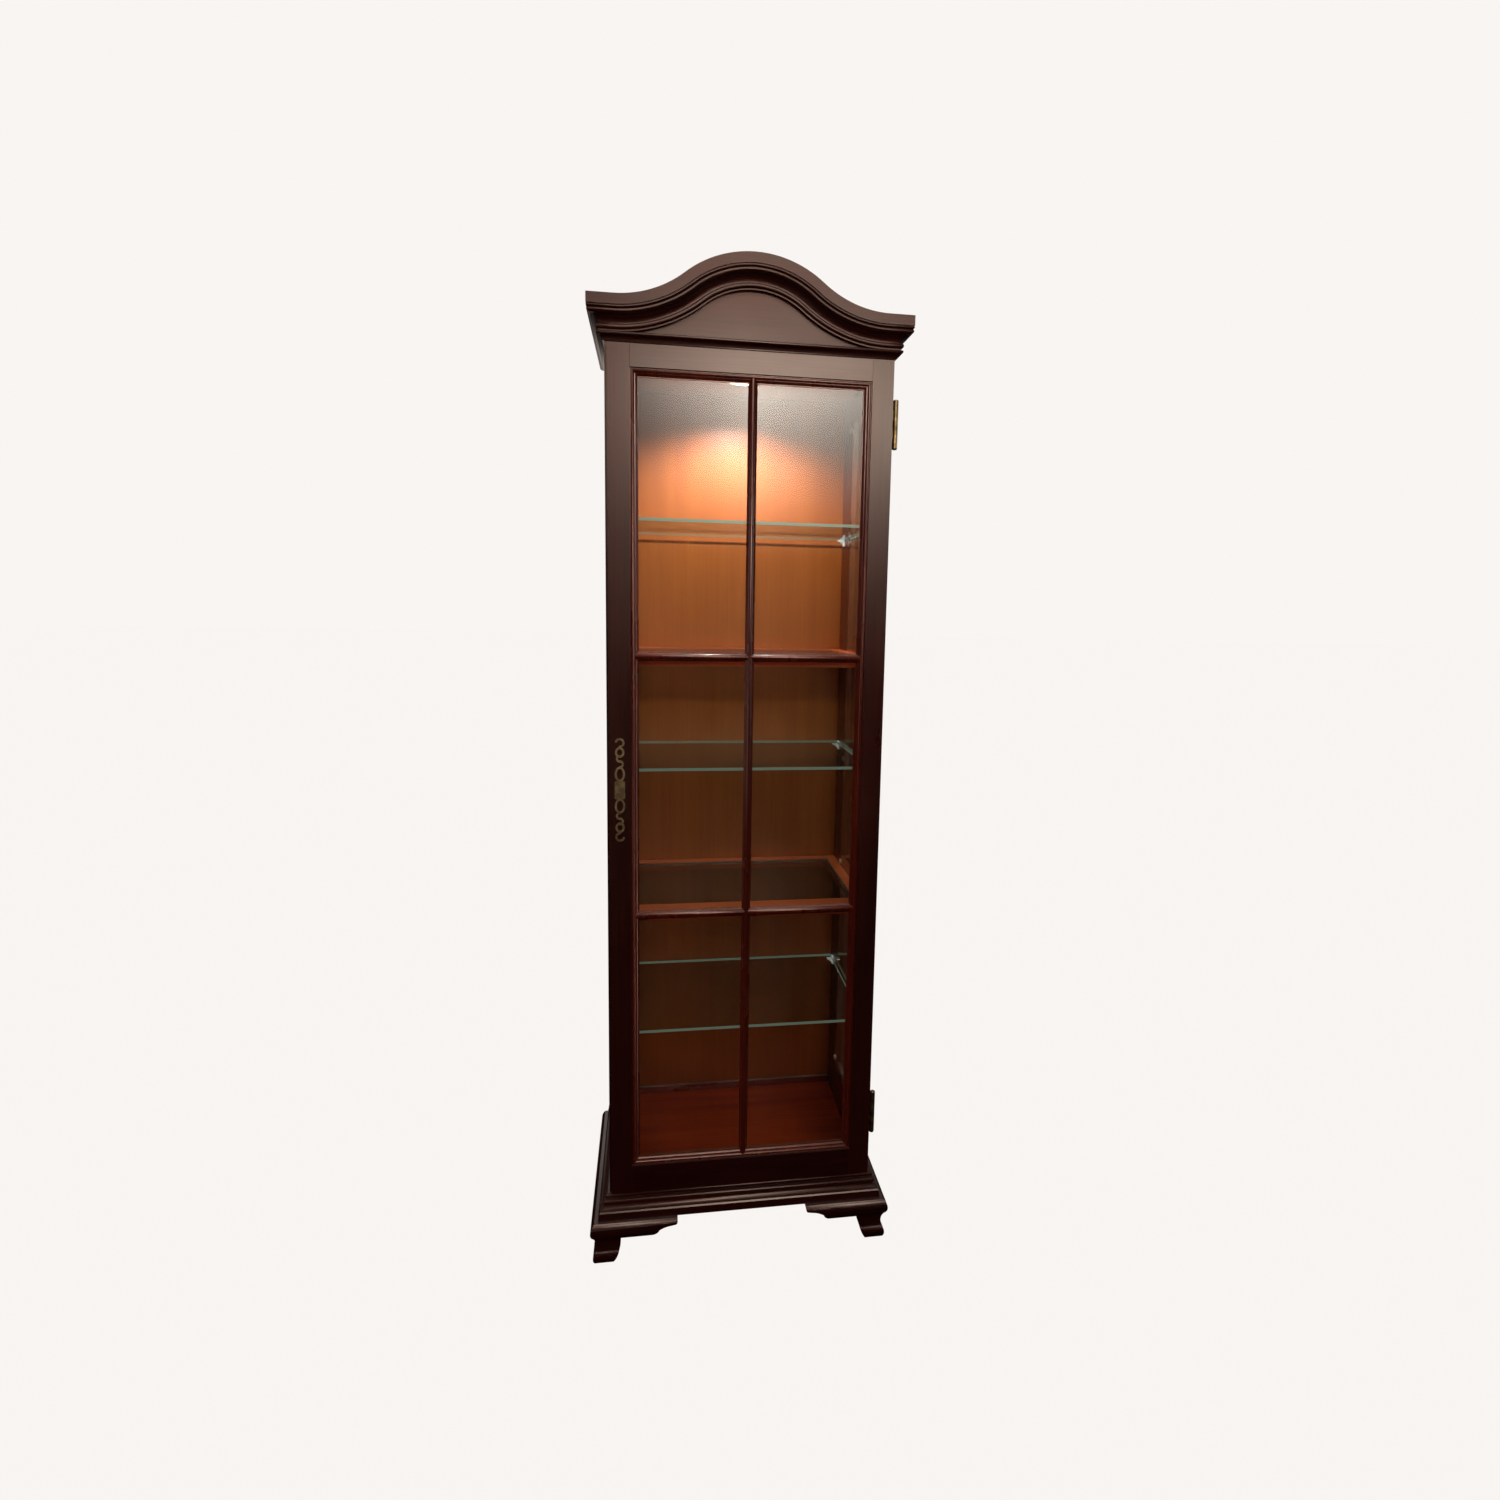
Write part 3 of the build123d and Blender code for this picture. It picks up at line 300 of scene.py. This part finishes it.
CROWN = {
    X_AXIS: ["crown_front_moulding", "tympanum_board"],
    Y_AXIS: ["crown_side_returns"],
}


def dress(names, material):
    """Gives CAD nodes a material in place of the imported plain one."""
    for name in names:
        node = NODES[name]
        for slot in node.material_slots:
            slot.link = "OBJECT"
            slot.material = material
        if not node.material_slots:
            node.data.materials.append(material)


def soften(names, width, angle=35.0):
    """Joins the tessellation's doubled corners and rounds the edges."""
    for name in names:
        node = NODES[name]
        weld = node.modifiers.new("weld", "WELD")
        weld.merge_threshold = WELD_REACH
        bevel = node.modifiers.new("round", "BEVEL")
        bevel.width = width
        bevel.segments = 2
        bevel.limit_method = "ANGLE"
        bevel.angle_limit = math.radians(angle)
        bevel.harden_normals = False


def dress_cabinet():
    """One material for each kind of surface."""
    case_wood = []
    for axis, names in CROWN.items():
        dress(names, wood(f"crown_mahogany_{'xyz'[axis]}", axis, MAHOGANY_DARK, MAHOGANY_LIGHT,
                          gloss=0.36, coat=0.0))
        case_wood += names
    for axis, names in ACROSS.items():
        dress(names, wood(f"mahogany_{'xyz'[axis]}", axis, MAHOGANY_DARK, MAHOGANY_LIGHT))
        case_wood += names
    dress(["door_sight_moulding", "door_glazing_bars"],
          wood("moulding_mahogany", Z_AXIS, MOULDING_DARK, MOULDING_LIGHT, gloss=0.27,
               worn=(0.3, 0.09, 0.05)))
    dress(["lower_shelf_frame", "upper_shelf_frame"],
          wood("shelf_mahogany", X_AXIS, SHELF_DARK, SHELF_LIGHT, dust=0.02, worn=(0.8, 0.30, 0.14)))
    dress(["back_panel", "top_board", "door_glass_stops"],
          wood("veneer_panel", Z_AXIS, PANEL_DARK, PANEL_LIGHT, gloss=0.45, coat=0.15, dust=0.03,
               wear=0.1))
    # On the cleat, the pale worn colour and full dust cover are a painted highlight along its top and
    # edges.
    dress(["back_cleat"],
          wood("cleat_painted_highlight", X_AXIS, MOULDING_DARK, MOULDING_LIGHT, dust=1.0,
               worn=(0.9, 0.45, 0.3)))
    dress(["bottom_board"],
          wood("floor_veneer", X_AXIS, FLOOR_DARK, FLOOR_LIGHT, gloss=0.36, coat=0.15, dust=0.015,
               wear=0.1))
    dress(["base_rear_rail", "foot_glue_blocks", "shelf_dowels"],
          wood("bare_wood", X_AXIS, BARE_DARK, BARE_LIGHT, gloss=0.7, coat=0.0, wear=0.0))
    dress(["door_glass"], glass("door_pane", (0.97, 0.98, 0.97), haze=0.002))
    dress(["left_side_glass", "right_side_glass"], bent_glass("side_pane", (0.93, 0.96, 0.94)))
    dress(["glass_shelf_low", "glass_shelf_middle", "glass_shelf_high"],
          glass("shelf_glass", (0.91, 0.95, 0.93), haze=0.006, edge=(0.25, 0.35, 0.27)))
    dress(["shelf_glass_insets"],
          glass("inset_glass", (0.84, 0.88, 0.84), haze=0.006, edge=(0.05, 0.07, 0.05)))
    dress(["escutcheon_plate"],
          metal("antique_brass", (0.74, 0.64, 0.40), (0.30, 0.25, 0.14), rough=0.34))
    dress(["hinge_case_leaves", "hinge_door_leaves", "hinge_pins", "hinge_case_screws",
           "hinge_door_screws"],
          metal("hinge_brass", (0.36, 0.29, 0.15), (0.14, 0.11, 0.06), rough=0.38))
    dress(["lock_housing", "lock_plug", "lock_cam"],
          metal("lock_steel", (0.55, 0.53, 0.49), (0.30, 0.28, 0.25)))
    dress(["side_glass_clips"],
          metal("bright_clip", (0.95, 0.94, 0.92), (0.7, 0.7, 0.7), rough=0.3, grime=0.1))
    # The pins' glow is painted light, for lamp light that the clear plastic carries.
    dress(["shelf_pins"], paint("clear_plastic", (0.93, 0.92, 0.90), 0.12, glow=0.22))
    dress(["lamp_can"], paint("lamp_paint", (0.80, 0.77, 0.70), 0.4))
    dress(["lamp_socket"], paint("lamp_ceramic", (0.75, 0.73, 0.68), 0.25))
    dress(["lamp_cord_bushing"], paint("bushing_rubber", (0.02, 0.02, 0.02), 0.55))
    dress(["lamp_bulb"], glowing("lamp_glow", (1.0, 0.86, 0.66), 14.0))
    soften([name for name in case_wood if name not in DOOR_FRAME], ROUND_WOOD)
    soften(["lower_shelf_frame", "upper_shelf_frame", "bottom_board"], ROUND_WOOD)
    soften(["door_sight_moulding", "door_glazing_bars"], ROUND_WOOD)
    soften(DOOR_FRAME, ROUND_DOOR)
    soften(["escutcheon_plate"], ROUND_BRASS)
    soften(["back_cleat"], ROUND_CLEAT)


# ---------------------------------------------------------------- studio
PALE = (0.947, 0.913, 0.888)    # floor and surround as the camera sees them
WARM = (1.0, 0.77, 0.61)
CREAM = (1.0, 0.88, 0.78)
KEY_POWER = 9.0
FILL_POWER = 7.5
SIDE_POWER = 14.0
LAMP_POWER = 13.8
SURROUND_LIGHT = 0.012
FLOOR_REACH = 40.0


def area_light(name, place, target, size, power, colour, sheen=False):
    """A soft lamp aimed at a point, not seen itself and, unless it gives sheen, not mirrored either."""
    lamp = bpy.data.lights.new(name, "AREA")
    lamp.shape = "RECTANGLE"
    lamp.size, lamp.size_y = size
    lamp.energy = power
    lamp.color = colour
    holder = bpy.data.objects.new(name, lamp)
    holder.location = place
    holder.rotation_euler = (Vector(target) - Vector(place)).to_track_quat("-Z", "Y").to_euler()
    holder.visible_camera = False
    holder.visible_transmission = False
    holder.visible_glossy = sheen
    bpy.context.scene.collection.objects.link(holder)


def cabinet_lamp():
    """The warm downlight in the case, just under the bulb; the can's rim limits its spread."""
    low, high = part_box("lamp_bulb")
    rim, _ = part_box("lamp_can")
    lamp = bpy.data.lights.new("cabinet_lamp", "SPOT")
    lamp.energy = LAMP_POWER
    lamp.color = (1.0, 0.95, 0.93)
    lamp.spot_size = math.radians(150.0)
    lamp.spot_blend = 0.7
    lamp.shadow_soft_size = 0.012
    holder = bpy.data.objects.new("cabinet_lamp", lamp)
    holder.location = ((low.x + high.x) / 2, (low.y + high.y) / 2, rim.z - 0.002)
    bpy.context.scene.collection.objects.link(holder)


def backdrop():
    """A pale surround: bright to the eye, dimmer as a light source, so that dark lacquer stays dark.

    Only camera rays see the pale one, so it looks dark through the side glass, which bends its rays.
    """
    world = bpy.data.worlds.new("studio")
    bpy.context.scene.world = world
    world.use_nodes = True
    tree = world.node_tree
    tree.nodes.clear()
    seen = tree.nodes.new("ShaderNodeBackground")
    seen.inputs["Color"].default_value = (*PALE, 1.0)
    lighting = tree.nodes.new("ShaderNodeBackground")
    lighting.inputs["Color"].default_value = (1.0, 0.93, 0.86, 1.0)
    lighting.inputs["Strength"].default_value = SURROUND_LIGHT
    path = tree.nodes.new("ShaderNodeLightPath")
    mix = tree.nodes.new("ShaderNodeMixShader")
    output = tree.nodes.new("ShaderNodeOutputWorld")
    tree.links.new(path.outputs["Is Camera Ray"], mix.inputs[0])
    tree.links.new(lighting.outputs[0], mix.inputs[1])
    tree.links.new(seen.outputs[0], mix.inputs[2])
    tree.links.new(mix.outputs[0], output.inputs["Surface"])


def floor():
    """A wide pale floor at the height of the feet."""
    mesh = bpy.data.meshes.new("studio_floor")
    corners = [(FLOOR_REACH * x, FLOOR_REACH * y, 0.0) for x, y in ((-1, -1), (1, -1), (1, 1), (-1, 1))]
    mesh.from_pydata(corners, [], [(0, 1, 2, 3)])
    ground = bpy.data.objects.new("studio_floor", mesh)
    ground.location.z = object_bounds()[0].z - 0.0005
    bpy.context.scene.collection.objects.link(ground)
    graph = Graph("studio_floor")
    lit = graph.add("BsdfDiffuse", Color=(0.05, 0.035, 0.03)).outputs[0]
    pale = graph.add("Emission", Color=PALE, Strength=1.0).outputs[0]
    share = graph.maths("MULTIPLY", graph.add("LightPath").outputs["Is Camera Ray"], 0.995)
    mesh.materials.append(graph.finish(graph.add("MixShader", i0=share, i1=lit, i2=pale).outputs[0]))
    ground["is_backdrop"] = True


def soft_panel(name, place, turn, size, peak, fade, strength, colour, tilt=0.0):
    """A standing or tilted panel, fading all round from its peak, seen only in glossy reflections.

    It still casts shadows, so it shades part of any lamp that stands in or behind it.
    """
    across, tall = size
    corners = [(0.0, 0.0, 0.0), (across, 0.0, 0.0), (across, 0.0, tall), (0.0, 0.0, tall)]
    mesh = bpy.data.meshes.new(name)
    mesh.from_pydata(corners, [], [(0, 3, 2, 1)])
    panel = bpy.data.objects.new(name, mesh)
    panel.location = place
    panel.rotation_euler = (math.radians(tilt), 0.0, math.radians(turn))
    panel.visible_camera = False
    panel.visible_diffuse = False
    panel.visible_transmission = False
    bpy.context.scene.collection.objects.link(panel)
    graph = Graph(name)
    axes = graph.add("SeparateXYZ", Vector=graph.place)
    parts = []
    for axis, end, middle, power in (("X", across, peak[0], fade[0]), ("Z", tall, peak[1], fade[1])):
        rising = graph.ramp(axes.outputs[axis], 0.0, 1.0, 0.0, middle)
        falling = graph.ramp(axes.outputs[axis], 1.0, 0.0, middle, end)
        parts.append(graph.maths("POWER", graph.maths("MULTIPLY", rising, falling), power))
    level = graph.maths("MULTIPLY", graph.maths("MULTIPLY", *parts), strength)
    mesh.materials.append(graph.finish(graph.add("Emission", Color=colour, Strength=level).outputs[0]))
    panel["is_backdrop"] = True


def studio():
    """Floor, surround, graded panels on four sides and above, soft lights and the case's own lamp."""
    backdrop()
    floor()
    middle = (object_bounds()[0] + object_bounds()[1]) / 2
    soft_panel("soft_front", place=(-0.75, -3.2, 1.6), turn=0.0, size=(2.95, 1.55),
               peak=(1.10, 0.9), fade=(1.9, 1.9), strength=26.0, colour=WARM)
    soft_panel("soft_top", place=(-1.4, -0.5, 3.4), turn=0.0, size=(2.8, 2.6),
               peak=(1.3, 1.3), fade=(1.2, 1.2), strength=12.0, colour=WARM, tilt=90.0)
    soft_panel("soft_right", place=(2.6, -1.6, 0.2), turn=90.0, size=(2.8, 3.0),
               peak=(1.4, 1.9), fade=(1.2, 1.2), strength=3.0, colour=CREAM)
    soft_panel("soft_back", place=(1.6, 3.0, 0.2), turn=180.0, size=(3.2, 3.0),
               peak=(1.6, 1.9), fade=(1.2, 1.2), strength=3.0, colour=CREAM)
    soft_panel("soft_left", place=(-2.6, 1.2, 0.2), turn=270.0, size=(2.8, 3.0),
               peak=(1.4, 1.9), fade=(1.2, 1.2), strength=2.2, colour=CREAM)
    area_light("key", (0.9, -2.9, 2.5), (middle.x, 0.0, 1.0), (1.6, 1.2), KEY_POWER, (1.0, 0.86, 0.76))
    area_light("fill", (-2.2, -2.2, 0.7), (middle.x, 0.0, 0.4), (1.6, 1.0), FILL_POWER,
               (1.0, 0.64, 0.44), sheen=True)
    sides = (("side_left", (-2.6, 0.6, 1.8)), ("side_right", (2.6, 0.6, 1.8)),
             ("behind", (0.0, 3.2, 2.2)))
    for name, place in sides:
        area_light(name, place, middle, (1.8, 2.0), SIDE_POWER, (1.0, 0.93, 0.88))
    cabinet_lamp()


# ---------------------------------------------------------------- camera
EYE = (-0.1847, -1.8821, 1.3774)
YAW, PITCH, ROLL = 0.1567, -0.1249, 0.0199
SENSOR = 36.0
LENS = 20.563
SHIFT = (-0.0265, -0.0237)


def camera():
    """Wide-angle view from in front of the cabinet, left of its middle, looking slightly down."""
    reach = math.cos(PITCH)
    ahead = Vector((math.sin(YAW) * reach, math.cos(YAW) * reach, math.sin(PITCH)))
    level = Vector((math.cos(YAW), -math.sin(YAW), 0.0))
    upright = level.cross(ahead)
    right = level * math.cos(ROLL) + upright * math.sin(ROLL)
    up = upright * math.cos(ROLL) - level * math.sin(ROLL)
    lens = bpy.data.cameras.new("camera")
    lens.sensor_width = SENSOR
    lens.lens = LENS
    lens.shift_x, lens.shift_y = SHIFT
    eye = bpy.data.objects.new("camera", lens)
    turn = Matrix((right, up, -ahead)).transposed().to_4x4()
    eye.matrix_world = Matrix.Translation(EYE) @ turn
    bpy.context.scene.collection.objects.link(eye)
    bpy.context.scene.camera = eye


bpy.context.scene.view_settings.view_transform = "Standard"
dress_cabinet()
studio()
camera()
